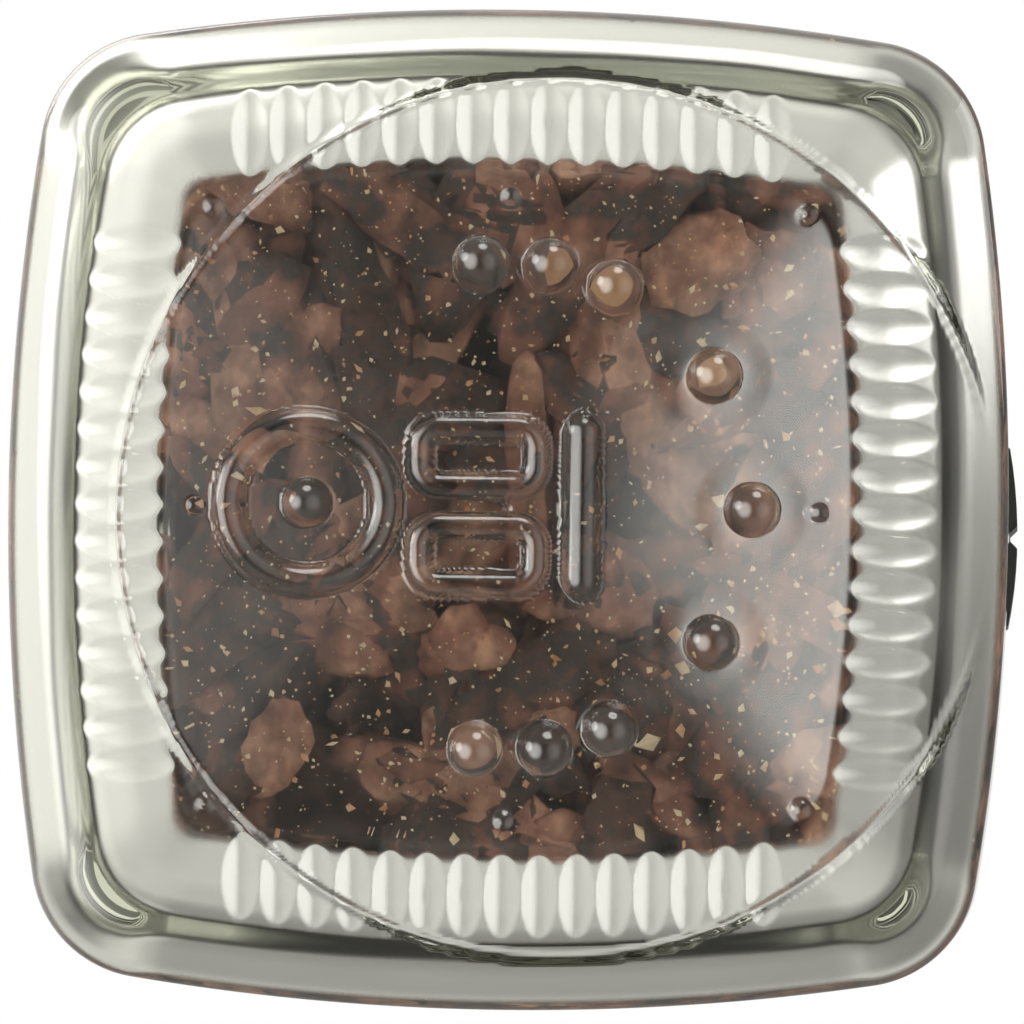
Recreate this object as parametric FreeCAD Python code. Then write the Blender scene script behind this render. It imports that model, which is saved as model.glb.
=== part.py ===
import FreeCAD, Part
import math
import os

# A square glass spice mill that stands upright: the base rests on z = 0 and the axis is Z.
# Lengths are in millimetres and angles in degrees.

# Glass jar, outside
JAR_WIDTH = 50.0
SIDE_RADIUS = 120.0
CORNER_RADIUS = 6.0
HEEL_RADIUS = 3.2
HEEL_STEPS = 3
BODY_HEIGHT = 69.0
SHOULDER_HEIGHT = 8.0
SHOULDER_CURVE = 2.5
SHOULDER_STEPS = 3
NECK_HEIGHT = 13.0
NECK_RADIUS = 20.0
BEAD_REACH = 1.2
BEAD_HEIGHT = 3.0
BEAD_DROP = 4.3

# Glass jar, inside
WALL = 2.8
NECK_WALL = 3.0
BORE_STEPS = 2
INNER_HEEL = 8.0
INNER_STEPS = 1
CORNER_MARGIN = 0.6
FLOOR_THICKNESS = 3.4

# Knurled bearing ring and raised panel under the base
PANEL_INSET = 16.0
PANEL_SLOPE = 7.4
PANEL_DEPTH = 1.15
KNURL_INSET = 5.7
RIB_COUNT = 15
RIB_PITCH = 1.86
RIB_LENGTH = 4.2
RIB_WIDTH = 1.4
RIB_CREST_LENGTH = 2.4
RIB_CREST_WIDTH = 0.6
RIB_HEIGHT = 0.42
RIB_ROOT = 0.1

# Spice inside the jar
FILL_GAP = 0.4
FILL_DROP = 13.0
LUMP_SPACING = 9.5
LUMP_DEPTH = 2.6

# Fixed collar on the neck
SNAP_CLEARANCE = 0.25
COLLAR_WALL = 1.6
COLLAR_DECK = 1.8
COLLAR_LUGS = 6
LUG_WIDTH = 6.0
LUG_HEIGHT = 2.6

# Grinding ring and grinding cone
BURR_HEIGHT = 8.0
BORE_CLEARANCE = 1.3
PRESS_CLEARANCE = 0.1
RING_FLANGE = 1.0
RING_FLANGE_REACH = 1.6
RING_WALL = 2.1
RING_TAPER = 1.4
RING_TEETH = 24
RING_TOOTH = 0.9
CONE_INLET = 5.5
CONE_OVERHANG = 2.0
CONE_TEETH = 12
CONE_TOOTH = 1.4
GRIND_GAP = 0.6
TOOTH_TWIST = 14.0

# Turning grip
RUN_CLEARANCE = 0.35
GRIP_WALL = 2.0
DECK = 2.0
FLUTES = 30
FLUTE_WIDTH = 1.6
FLUTE_DEPTH = 0.6
HOOKS = 4
HOOK_WIDTH = 7.0
HOOK_REACH = 1.0
HOOK_HEIGHT = 2.0
OUTLET_MARGIN = 0.5
HUB_RADIUS = 5.0
SPOKES = 4
SPOKE_WIDTH = 3.0
POST_WIDTH = 5.0
POST_CLEARANCE = 0.15
LEDGE_HEIGHT = 5.0
LEDGE_WALL = 1.8

# Screw that holds the cone on the post
SCREW_RADIUS = 1.4
SCREW_LENGTH = 7.0
SCREW_CLEARANCE = 0.1
SCREW_HEAD_RADIUS = 2.9
SCREW_HEAD_HEIGHT = 1.6
SCREW_SLOT = 0.8

# Push-on cap
CAP_INSET = 0.4
CAP_HEIGHT = 27.0
CAP_WALL = 1.6
CAP_CLEARANCE = 0.3
CAP_EDGE = 2.4
CAP_EDGE_STEPS = 2

# Levels and radii that follow from the sizes above
HALF = JAR_WIDTH / 2
CAVITY_CORNER = INNER_HEEL + CORNER_MARGIN
BORE_RADIUS = NECK_RADIUS - NECK_WALL
PANEL_HALF = HALF - PANEL_INSET
PANEL_Z = RIB_HEIGHT + PANEL_DEPTH
FLOOR_Z = PANEL_Z + FLOOR_THICKNESS
FILL_LEVEL = BODY_HEIGHT - FILL_DROP
NECK_Z = BODY_HEIGHT + SHOULDER_HEIGHT
RIM_Z = NECK_Z + NECK_HEIGHT
BEAD_RADIUS = NECK_RADIUS + BEAD_REACH
BEAD_Z = RIM_Z - BEAD_DROP
COLLAR_INNER = BEAD_RADIUS + SNAP_CLEARANCE
COLLAR_RADIUS = COLLAR_INNER + COLLAR_WALL
LUG_INNER = NECK_RADIUS + SNAP_CLEARANCE
LUG_TOP = BEAD_Z - BEAD_HEIGHT / 2 - SNAP_CLEARANCE
COLLAR_Z = LUG_TOP - LUG_HEIGHT
COLLAR_TOP = RIM_Z + COLLAR_DECK
FLANGE_RADIUS = BORE_RADIUS - BORE_CLEARANCE
RING_RADIUS = FLANGE_RADIUS - RING_FLANGE_REACH
COLLAR_BORE = RING_RADIUS + PRESS_CLEARANCE
RING_Z = RIM_Z - RING_FLANGE
RING_INLET = RING_RADIUS - RING_WALL
RING_OUTLET = RING_INLET - RING_TAPER
CONE_OUTLET = RING_OUTLET - GRIND_GAP
CONE_Z = COLLAR_TOP - CONE_OVERHANG
BURR_TOP = COLLAR_TOP + BURR_HEIGHT
DECK_Z = BURR_TOP + RUN_CLEARANCE
DECK_TOP = DECK_Z + DECK
OUTLET_RADIUS = RING_OUTLET + RING_TOOTH + OUTLET_MARGIN
GRIP_INNER = COLLAR_RADIUS + RUN_CLEARANCE
GRIP_RADIUS = GRIP_INNER + GRIP_WALL
HOOK_TOP = COLLAR_Z - RUN_CLEARANCE
GRIP_Z = HOOK_TOP - HOOK_HEIGHT
LEDGE_Z = DECK_TOP - LEDGE_HEIGHT
SHELF_Z = LEDGE_Z - DECK
SOCKET_WIDTH = POST_WIDTH + 2 * POST_CLEARANCE
SCREW_WAY = SCREW_RADIUS + SCREW_CLEARANCE
CAP_RADIUS = GRIP_RADIUS - CAP_INSET
CAP_INNER = CAP_RADIUS - CAP_WALL
LEDGE_RADIUS = CAP_INNER - CAP_CLEARANCE
LEDGE_INNER = LEDGE_RADIUS - LEDGE_WALL
CAP_TOP = LEDGE_Z + CAP_HEIGHT

UP = FreeCAD.Vector(0, 0, 1)
ORIGIN = FreeCAD.Vector(0, 0, 0)

# The bowed square: each side is an arc about a point behind the axis, and each corner arc touches
# two sides. The corner centre lies on the diagonal, where the arcs share a tangent.
SIDE_CENTRE = HALF - SIDE_RADIUS
CENTRE_GAP = SIDE_RADIUS - CORNER_RADIUS
CORNER_CENTRE = (SIDE_CENTRE + math.sqrt(2 * CENTRE_GAP ** 2 - SIDE_CENTRE ** 2)) / 2
SPLIT_ANGLE = math.atan2(CORNER_CENTRE, CORNER_CENTRE - SIDE_CENTRE)


def square_scale(half, corner):
    """Size of a bowed square's skeleton against that of the jar."""
    return (half - corner) / (HALF - CORNER_RADIUS)


def corner_reach(half, corner):
    """Distance from the axis to the outermost point of a corner."""
    return square_scale(half, corner) * CORNER_CENTRE * math.sqrt(2) + corner


def section(half, corner, z):
    """Bowed square of the given half width and corner radius, at the level z."""
    scale = square_scale(half, corner)
    side_radius = scale * CENTRE_GAP + corner

    def point(centre_x, centre_y, radius, angle, quarter):
        x = centre_x + radius * math.cos(angle)
        y = centre_y + radius * math.sin(angle)
        turn = FreeCAD.Rotation(UP, 90 * quarter)
        return turn.multVec(FreeCAD.Vector(x, y, z))

    edges = []
    for quarter in range(4):
        side = [point(scale * SIDE_CENTRE, 0, side_radius, angle, quarter)
                for angle in (-SPLIT_ANGLE, 0, SPLIT_ANGLE)]
        bend = [point(scale * CORNER_CENTRE, scale * CORNER_CENTRE, corner, angle, quarter)
                for angle in (SPLIT_ANGLE, math.pi / 4, math.pi / 2 - SPLIT_ANGLE)]
        edges.append(Part.Arc(*side).toShape())
        edges.append(Part.Arc(*bend).toShape())
    return Part.Wire(edges)


def heeled_block(half, corner, heel, steps, low, high):
    """Bowed-square block whose lower edge is rounded in a number of bands."""
    wires = []
    for step in range(steps + 1):
        angle = math.pi / 2 * step / steps
        inset = heel * (1 - math.sin(angle))
        wires.append(section(half - inset, corner - inset, low + heel * (1 - math.cos(angle))))
    wires.append(section(half, corner, high))
    return Part.makeLoft(wires, True, True)


def shoulder_line(reach, neck, steps):
    """Shoulder that is level at the corners and curves up into the round neck, as radius and height."""
    line = []
    for step in range(steps + 1):
        share = step / steps
        line.append((reach + (neck - reach) * share, BODY_HEIGHT + SHOULDER_HEIGHT * share ** SHOULDER_CURVE))
    return line


def turned(outline):
    """Solid of revolution about Z from corners given as radius and height."""
    points = [FreeCAD.Vector(radius, 0, z) for radius, z in outline]
    face = Part.Face(Part.makePolygon(points + points[:1]))
    return face.revolve(ORIGIN, UP, 360)


def disc(radius, low, high):
    """Plain round block on the axis."""
    return Part.makeCylinder(radius, high - low, UP * low)


def block(width, depth, low, high):
    """Plain box centred on the axis."""
    corner = FreeCAD.Vector(-width / 2, -depth / 2, low)
    return Part.makeBox(width, depth, high - low, corner)


def spun(shape, count, start=0.0):
    """Copies of a shape set evenly round the axis."""
    copies = []
    for index in range(count):
        copy = shape.copy()
        copy.rotate(ORIGIN, UP, start + 360 * index / count)
        copies.append(copy)
    return copies


def toothed_block(teeth, low, high):
    """Tapered block with straight teeth; each end is given as tip radius, root radius, level and turn."""
    rings = []
    for tip, root, z, turn in (low, high):
        points = []
        for index in range(2 * teeth):
            radius = tip if index % 2 == 0 else root
            angle = math.radians(turn) + math.pi * index / teeth
            points.append(FreeCAD.Vector(radius * math.cos(angle), radius * math.sin(angle), z))
        rings.append(points + points[:1])
    faces = [Part.Face(Part.makePolygon(ring)) for ring in rings]
    bottom, top = rings
    for index in range(2 * teeth):
        here, there = bottom[index], top[index + 1]
        faces.append(Part.Face(Part.makePolygon([here, bottom[index + 1], there, here])))
        faces.append(Part.Face(Part.makePolygon([here, there, top[index], here])))
    return Part.Solid(Part.Shell(faces))


def inward_lugs(count, width, inner, outer, low, high):
    """Blocks that stand inwards from a round wall, evenly spaced."""
    lug = Part.makeBox(outer - inner, width, high - low, FreeCAD.Vector(inner, -width / 2, low))
    return spun(lug, count)


def faceted_block(rings, low, high):
    """Solid with triangles between rings of as many points each, closed at a point below and above."""
    count = len(rings[0])
    corners = []
    for index in range(count):
        after = (index + 1) % count
        corners.append((low, rings[0][after], rings[0][index]))
        corners.append((high, rings[-1][index], rings[-1][after]))
        for bottom, top in zip(rings, rings[1:]):
            corners.append((bottom[index], bottom[after], top[after]))
            corners.append((bottom[index], top[after], top[index]))
    faces = [Part.Face(Part.makePolygon([a, b, c, a])) for a, b, c in corners]
    return Part.Solid(Part.Shell(faces))


def bearing_rib():
    """One rib of the knurl along X, narrow at the crest it stands on and rooted in the foot."""
    grow = 1 + RIB_ROOT / RIB_HEIGHT
    length = RIB_CREST_LENGTH + (RIB_LENGTH - RIB_CREST_LENGTH) * grow
    width = RIB_CREST_WIDTH + (RIB_WIDTH - RIB_CREST_WIDTH) * grow
    rib = Part.makeWedge(-RIB_CREST_LENGTH / 2, 0, -RIB_CREST_WIDTH / 2, -width / 2, -length / 2,
                         RIB_CREST_LENGTH / 2, RIB_HEIGHT + RIB_ROOT, RIB_CREST_WIDTH / 2,
                         width / 2, length / 2)
    rib.rotate(ORIGIN, FreeCAD.Vector(1, 0, 0), 90)
    return rib


def bearing_ribs():
    """Rows of ribs that follow the bow of the four sides; the corners of the ring stay plain."""
    bow = SIDE_RADIUS - KNURL_INSET
    ribs = []
    for index in range(RIB_COUNT):
        rib = bearing_rib()
        along = (index - (RIB_COUNT - 1) / 2) * RIB_PITCH
        rib.translate(FreeCAD.Vector(SIDE_CENTRE + math.sqrt(bow ** 2 - along ** 2), along, 0))
        ribs.extend(spun(rib, 4))
    return ribs


def panel_recess():
    """Shallow hollow under the base that slopes up from the knurl to a flat middle."""
    rim = PANEL_HALF + PANEL_SLOPE
    recess = Part.makeWedge(-rim, 0, -rim, -PANEL_HALF, -PANEL_HALF,
                            rim, PANEL_DEPTH, rim, PANEL_HALF, PANEL_HALF)
    recess.rotate(ORIGIN, FreeCAD.Vector(1, 0, 0), 90)
    recess.translate(UP * RIB_HEIGHT)
    return recess


def glass_bottle():
    reach = corner_reach(HALF, CORNER_RADIUS)
    outline = [(0, 0), (reach + 1, 0), (reach + 1, BODY_HEIGHT)]
    outline += shoulder_line(reach, NECK_RADIUS, SHOULDER_STEPS)
    outline += [(NECK_RADIUS, BEAD_Z - BEAD_HEIGHT / 2), (BEAD_RADIUS, BEAD_Z),
                (NECK_RADIUS, BEAD_Z + BEAD_HEIGHT / 2), (NECK_RADIUS, RIM_Z), (0, RIM_Z)]
    body = heeled_block(HALF, CORNER_RADIUS, HEEL_RADIUS, HEEL_STEPS, RIB_HEIGHT, RIM_Z)
    outside = body.common(turned(outline))
    inner_reach = corner_reach(HALF - WALL, CAVITY_CORNER)
    over = RIM_Z + 1
    bore = [(0, 0), (inner_reach + 1, 0), (inner_reach + 1, BODY_HEIGHT)]
    bore += shoulder_line(inner_reach, BORE_RADIUS, BORE_STEPS) + [(BORE_RADIUS, over), (0, over)]
    cavity = heeled_block(HALF - WALL, CAVITY_CORNER, INNER_HEEL, INNER_STEPS, FLOOR_Z, over)
    hollow = cavity.common(turned(bore))
    glass = outside.cut(hollow).cut(panel_recess())
    return glass.multiFuse(bearing_ribs()).removeSplitter()


def spice_fill():
    # coarse broken pieces as one block, whose skin goes in and out from lump to lump
    half = HALF - WALL - FILL_GAP
    corner = CAVITY_CORNER - FILL_GAP
    heel = INNER_HEEL - FILL_GAP
    low = FLOOR_Z + FILL_GAP
    wall_z = low + heel
    columns = 2 * round(8 * half / LUMP_SPACING)
    rows = round(2 * (FILL_LEVEL - wall_z) / LUMP_SPACING)

    def ring(half, corner, z):
        return section(half, corner, z).discretize(columns + 1)[:-1]

    def sink(row, column):
        return LUMP_DEPTH * ((row + column) % 2) * (0.7 + 0.3 * math.sin(2.4 * column + 1.7 * row))

    walls = []
    for row in range(rows + 1):
        points = ring(half, corner, wall_z + (FILL_LEVEL - wall_z) * row / rows)
        walls.append([p - FreeCAD.Vector(p.x, p.y, 0).normalize() * sink(row, column)
                      for column, p in enumerate(points)])
    foot = ring(half - heel, corner - heel, low)
    under = [FreeCAD.Vector(p.x / 2, p.y / 2, low + sink(0, column // 3)) for column, p in enumerate(foot)]
    over = [FreeCAD.Vector(p.x / 2, p.y / 2, FILL_LEVEL - sink(1, column // 3))
            for column, p in enumerate(walls[-1])]
    return faceted_block([under, foot] + walls + [over], UP * low, UP * FILL_LEVEL)


def neck_collar():
    # the skirt reaches over the bead, its lugs snap in below the bead, and the deck lies on the rim
    shell = turned([(COLLAR_INNER, COLLAR_Z), (COLLAR_RADIUS, COLLAR_Z), (COLLAR_RADIUS, COLLAR_TOP),
                    (COLLAR_BORE, COLLAR_TOP), (COLLAR_BORE, RIM_Z), (COLLAR_INNER, RIM_Z)])
    lugs = inward_lugs(COLLAR_LUGS, LUG_WIDTH, LUG_INNER, COLLAR_INNER + COLLAR_WALL / 2,
                       COLLAR_Z, LUG_TOP)
    return shell.multiFuse(lugs).removeSplitter()


def grinding_ring():
    # pressed up through the deck of the collar until its flange stops below the deck
    flange = disc(FLANGE_RADIUS, RING_Z, RIM_Z)
    ring = disc(RING_RADIUS, RIM_Z, BURR_TOP).fuse(flange)
    return ring.cut(toothed_block(RING_TEETH, (RING_INLET, RING_INLET + RING_TOOTH, RING_Z, 0),
                                  (RING_OUTLET, RING_OUTLET + RING_TOOTH, BURR_TOP, TOOTH_TWIST)))


def grinding_cone():
    cone = toothed_block(CONE_TEETH, (CONE_INLET, CONE_INLET - CONE_TOOTH, CONE_Z, 0),
                         (CONE_OUTLET, CONE_OUTLET - CONE_TOOTH, DECK_Z, -TOOTH_TWIST))
    socket = block(SOCKET_WIDTH, SOCKET_WIDTH, CONE_Z + SCREW_HEAD_HEIGHT, DECK_Z)
    return cone.cut(socket).cut(disc(SCREW_WAY, CONE_Z, DECK_Z))


def cone_screw():
    head_z = CONE_Z - SCREW_HEAD_HEIGHT
    screw = disc(SCREW_HEAD_RADIUS, head_z, CONE_Z).fuse(disc(SCREW_RADIUS, CONE_Z, CONE_Z + SCREW_LENGTH))
    return screw.cut(block(2 * SCREW_HEAD_RADIUS, SCREW_SLOT, head_z, CONE_Z - SCREW_HEAD_HEIGHT / 2))


def grip_head():
    # the deck covers the burrs, the step above the grip carries the cap, and the hooks inside the
    # lower edge run below the collar
    skirt = turned([(GRIP_INNER, GRIP_Z), (GRIP_RADIUS, GRIP_Z), (GRIP_RADIUS, LEDGE_Z),
                    (LEDGE_RADIUS, LEDGE_Z), (LEDGE_RADIUS, DECK_TOP), (OUTLET_RADIUS, DECK_TOP),
                    (OUTLET_RADIUS, DECK_Z), (LEDGE_INNER, DECK_Z), (LEDGE_INNER, SHELF_Z),
                    (GRIP_INNER, SHELF_Z)])
    flute = block(FLUTE_WIDTH, FLUTE_WIDTH, GRIP_Z, LEDGE_Z)
    flute.rotate(ORIGIN, UP, 45)
    flute.translate(FreeCAD.Vector(GRIP_RADIUS + FLUTE_WIDTH / math.sqrt(2) - FLUTE_DEPTH, 0, 0))
    skirt = skirt.cut(Part.makeCompound(spun(flute, FLUTES)))
    hooks = inward_lugs(HOOKS, HOOK_WIDTH, GRIP_INNER - HOOK_REACH,
                        (GRIP_INNER + GRIP_RADIUS - FLUTE_DEPTH) / 2, GRIP_Z, HOOK_TOP)
    hub = disc(HUB_RADIUS, DECK_Z, DECK_TOP)
    post = block(POST_WIDTH, POST_WIDTH, CONE_Z + SCREW_HEAD_HEIGHT + POST_CLEARANCE, DECK_Z)
    spoke = Part.makeBox(OUTLET_RADIUS, SPOKE_WIDTH, DECK, FreeCAD.Vector(1, -SPOKE_WIDTH / 2, DECK_Z))
    head = skirt.multiFuse(hooks + [hub, post] + spun(spoke, SPOKES, 180 / SPOKES))
    return head.cut(disc(SCREW_WAY, CONE_Z, CONE_Z + SCREW_LENGTH + POST_CLEARANCE)).removeSplitter()


def overcap():
    edge = []
    for step in range(CAP_EDGE_STEPS + 1):
        angle = math.pi / 2 * step / CAP_EDGE_STEPS
        edge.append((CAP_RADIUS - CAP_EDGE * (1 - math.cos(angle)),
                     CAP_TOP - CAP_EDGE * (1 - math.sin(angle))))
    ceiling = CAP_TOP - CAP_WALL
    return turned([(CAP_INNER, LEDGE_Z), (CAP_RADIUS, LEDGE_Z)] + edge
                  + [(0, CAP_TOP), (0, ceiling), (CAP_INNER, ceiling)])


os.makedirs("parts", exist_ok=True)
for make in (glass_bottle, spice_fill, neck_collar, grinding_ring, grinding_cone, cone_screw,
             grip_head, overcap):
    shape = make()
    print(make.__name__, "solids", len(shape.Solids), "valid", shape.isValid(),
          "volume", round(shape.Volume, 1))
    shape.Solids[0].exportStep("parts/" + make.__name__ + ".step")
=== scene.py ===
# %% [markdown]
# # A square glass spice mill
# The object is a square jar of clear glass with bowed sides, full of coarse dried spice, with a black
# mill head snapped on its neck. The photograph looks straight at the underside, so the base of the
# glass gets most of the work here: a knurled bearing ring, moulded dots, loops and a bar, and a thick
# heel that bends the light. The solids of the CAD frame could be shown as they are, but they are plain
# where glass has fine relief. So the head keeps its solids, and the glass and the spice are modelled
# anew, in the place and size that the frame gives.

# %% Load the CAD frame
import math

import bmesh
import bpy
import numpy as np
from mathutils import Matrix, Vector


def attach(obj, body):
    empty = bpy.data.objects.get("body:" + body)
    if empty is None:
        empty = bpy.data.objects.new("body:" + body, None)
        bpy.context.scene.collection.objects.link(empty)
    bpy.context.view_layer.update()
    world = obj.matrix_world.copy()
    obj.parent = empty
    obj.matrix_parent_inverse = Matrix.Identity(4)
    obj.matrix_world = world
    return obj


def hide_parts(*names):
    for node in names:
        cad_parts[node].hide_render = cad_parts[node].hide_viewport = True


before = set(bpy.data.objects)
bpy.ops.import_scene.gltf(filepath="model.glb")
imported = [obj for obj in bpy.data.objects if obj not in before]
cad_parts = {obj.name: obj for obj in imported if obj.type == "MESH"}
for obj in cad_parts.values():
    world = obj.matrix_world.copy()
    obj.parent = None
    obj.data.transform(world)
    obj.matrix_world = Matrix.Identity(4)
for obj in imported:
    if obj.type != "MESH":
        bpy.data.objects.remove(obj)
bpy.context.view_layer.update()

scene = bpy.context.scene
scene.view_settings.view_transform = "Standard"

# %% [markdown]
# ## Camera
# The jar is photographed from far below its base. A wide lens close by would show the same base with
# the walls splayed out behind it, so a long lens from far away is the right one. The dark mill head
# peeps out at the right edge only, which says that the camera stands a little to the right of the
# axis and a little below it in the picture. Picture right is +X and picture down is +Y.

# %% Camera under the base
DISTANCE = 1.2
FIELD = 0.0510
ROLL = math.radians(0.7)
AIM = Vector((0.00027, 0.00017, 0))
OFF_AXIS = (0.026, 0.018)

camera_data = bpy.data.cameras.new("base_camera")
camera_data.sensor_width = 36.0
camera_data.lens = camera_data.sensor_width * DISTANCE / FIELD
camera_data.clip_start = 0.05
camera_data.clip_end = 50.0
camera = bpy.data.objects.new("base_camera", camera_data)
scene.collection.objects.link(camera)
eye = Vector((*OFF_AXIS, -DISTANCE)) + AIM
back = (eye - AIM).normalized()
across = Vector((math.cos(ROLL), -math.sin(ROLL), 0))
right = (across - back * back.dot(across)).normalized()
turned = Matrix((right, back.cross(right), back)).transposed()
camera.matrix_world = Matrix.Translation(eye) @ turned.to_4x4()
scene.camera = camera
print("camera lens in mm:", round(camera_data.lens))

# %% [markdown]
# ## Sums of sockets
# A finish is a small formula over the surface, such as rough here and darker there. It could be wired
# by hand in the shader editor, node by node, but then it is hard to read and to change. One class
# wraps an output socket instead, so that the formula reads as Python. Each operator adds a Math node,
# and the method `node` adds any other kind.

# %% The wire class
class Wire:
    """An output socket that takes part in Python expressions."""

    def __init__(self, tree, socket=None):
        self.tree = tree
        self.socket = socket

    def node(self, kind, settings=None, inputs=None, output=0):
        """Adds a node: its settings first, then the values or wires of its sockets."""
        made = self.tree.nodes.new(kind)
        for name, value in (settings or {}).items():
            if name == "stops":
                while len(made.color_ramp.elements) < len(value):
                    made.color_ramp.elements.new(0.5)
                for element, (place, colour) in zip(made.color_ramp.elements, value):
                    element.position = place
                    element.color = (*colour, 1.0)
            else:
                setattr(made, name, value)
        for name, value in (inputs or {}).items():
            if isinstance(value, Wire):
                self.tree.links.new(value.socket, made.inputs[name])
            else:
                made.inputs[name].default_value = value
        return Wire(self.tree, made.outputs[output] if made.outputs else None)

    def sum(self, operation, first, second):
        """Adds a Math node."""
        return self.node("ShaderNodeMath", {"operation": operation}, {0: first, 1: second})

    def __add__(self, other):
        return self.sum("ADD", self, other)

    def __radd__(self, other):
        return self.sum("ADD", other, self)

    def __sub__(self, other):
        return self.sum("SUBTRACT", self, other)

    def __rsub__(self, other):
        return self.sum("SUBTRACT", other, self)

    def __mul__(self, other):
        return self.sum("MULTIPLY", self, other)

    def __rmul__(self, other):
        return self.sum("MULTIPLY", other, self)

    def __abs__(self):
        return self.sum("ABSOLUTE", self, 0.0)

    def least(self, other):
        """The smaller of two values."""
        return self.sum("MINIMUM", self, other)

    def most(self, other):
        """The larger of two values."""
        return self.sum("MAXIMUM", self, other)

    def step(self, low, high, top=1.0):
        """Soft step from 0 to a top, while this value goes from low to high."""
        return self.node("ShaderNodeMapRange", {"interpolation_type": "SMOOTHSTEP"},
                         {"Value": self, "From Min": low, "From Max": high, "To Min": 0.0, "To Max": top})


print("operations of a wire:", sum(callable(member) for member in vars(Wire).values()))

# %% Helpers for finishes
def new_finish(name):
    """Empty material, and a wire to start its nodes from."""
    material = bpy.data.materials.new(name)
    material.use_nodes = True
    material.node_tree.nodes.clear()
    return material, Wire(material.node_tree)


def close_finish(start, surface, volume=None):
    """Output node of a material."""
    links = {"Surface": surface}
    if volume:
        links["Volume"] = volume
    start.node("ShaderNodeOutputMaterial", {}, links)


def noise(start, scale, detail=3.0, stretch=(1.0, 1.0, 1.0)):
    """Noise from 0 to 1 in the object's own metres."""
    place = start.node("ShaderNodeTexCoord", output="Object")
    place = start.node("ShaderNodeVectorMath", {"operation": "MULTIPLY"}, {0: place, 1: stretch})
    return start.node("ShaderNodeTexNoise", {}, {"Vector": place, "Scale": scale, "Detail": detail})


def shaded(start, colour, shade):
    """Colour made lighter or darker by a factor."""
    return start.node("ShaderNodeVectorMath", {"operation": "SCALE"}, {0: colour, 3: shade})


def bumpy(start, height, strength, depth):
    """Normal of a surface with fine relief."""
    return start.node("ShaderNodeBump", {}, {"Strength": strength, "Distance": depth, "Height": height})


print("materials so far:", len(bpy.data.materials))

# %% [markdown]
# ## Light and floor
# The picture was taken in a white studio, and whatever looks past the object meets white. A plain
# white world is the short way to that, but clear glass then has nothing to bend and turns flat. So
# the world is a tent of soft light with darker and brighter areas. The camera sees it as white, and
# matte things get even light from it. A few lamps under the base show almost only as mirror images
# in the outside of the glass, where they lay a veil over the base and put glints on its marks. The
# floor lies under the base and is see-through from below, because the camera looks up through it.

# %% World
UP = (0, 0, 1)
SEEN_WHITE = (1.0, 1.0, 1.0, 1.0)
TENT_WHITE = (1.0, 0.995, 0.95, 1.0)
EVEN_LIGHT = 0.85
TENT_DIM = 0.10
TENT_BRIGHT = 0.55
TENT_EDGE = (-0.99, -0.72)
LOW_EDGE = (-0.45, -0.12)
CLOUD_SCALE = 1.9

# Areas of the tent: change of the light, direction, start and end of the soft edge.
AREAS = [(-0.65, (0.6, 0.0, 0.8), 0.80, 0.97), (-0.5, (0.0, 0.6, 0.8), 0.80, 0.97),
         (0.7, (-0.6, -0.4, 0.7), 0.50, 0.95), (-0.3, (1.0, 0.0, 0.1), 0.75, 0.97)]
# Lamps under the base: light, direction, start and end of the soft edge.
GLOWS = [(8.4, (-0.64, 0.0, -0.77), 0.80, 0.99), (1.5, (0.6, 0.0, -0.8), 0.80, 0.99),
         (9.0, (-0.9, -0.25, -0.36), 0.95, 0.985), (9.0, (0.15, -0.9, -0.41), 0.95, 0.985)]

world = bpy.data.worlds.new("white_studio")
world.use_nodes = True
world.node_tree.nodes.clear()
sky = Wire(world.node_tree)
seen, matte, mirrored, through = [sky.node("ShaderNodeLightPath", output=name) for name in (
    "Is Camera Ray", "Diffuse Depth", "Is Singular Ray", "Transmission Depth")]
facing = sky.node("ShaderNodeTexCoord", output="Generated")


def toward(direction, low, high):
    """Soft step that grows toward a direction of the studio."""
    near = sky.node("ShaderNodeVectorMath", {"operation": "DOT_PRODUCT"},
                    {0: facing, 1: direction}, output="Value")
    return near.step(low, high)


cloud = sky.node("ShaderNodeTexNoise", {}, {"Vector": facing, "Scale": CLOUD_SCALE, "Detail": 1.0})
tent = TENT_DIM + TENT_BRIGHT * toward(UP, *TENT_EDGE) * (0.65 + 0.7 * cloud)
for change, direction, low, high in AREAS:
    tent = tent * (1.0 + change * toward(direction, low, high))
tent = tent * (1.3 - 0.4 * toward(UP, *LOW_EDGE))
glow = 0.0
for light, direction, low, high in GLOWS:
    glow = glow + light * toward(direction, low, high)
tent = tent + glow * mirrored * (1.0 - 0.9 * through.least(1.0))
even = matte.least(1.0)
strength = seen.most(even * EVEN_LIGHT + (1.0 - even) * tent)
hue = sky.node("ShaderNodeMix", {"data_type": "RGBA"}, {0: seen, 6: TENT_WHITE, 7: SEEN_WHITE}, output=2)
backdrop = sky.node("ShaderNodeBackground", {}, {"Color": hue, "Strength": strength})
sky.node("ShaderNodeOutputWorld", {}, {"Surface": backdrop})
scene.world = world
print("nodes of the world:", len(world.node_tree.nodes))

# %% Lamps
LAMP_TARGET = Vector((0, 0, 0.03))


def softbox(name, place, width, height, radiance, colour):
    """Area lamp that faces the object; its power follows from how bright its face looks."""
    data = bpy.data.lights.new(name, "AREA")
    data.shape = "RECTANGLE"
    data.size = width
    data.size_y = height
    data.energy = radiance * math.pi * width * height
    data.color = colour
    lamp = bpy.data.objects.new(name, data)
    lamp.location = place
    lamp.rotation_euler = (LAMP_TARGET - Vector(place)).to_track_quat("-Z", "Y").to_euler()
    lamp.visible_camera = False
    scene.collection.objects.link(lamp)


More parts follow.
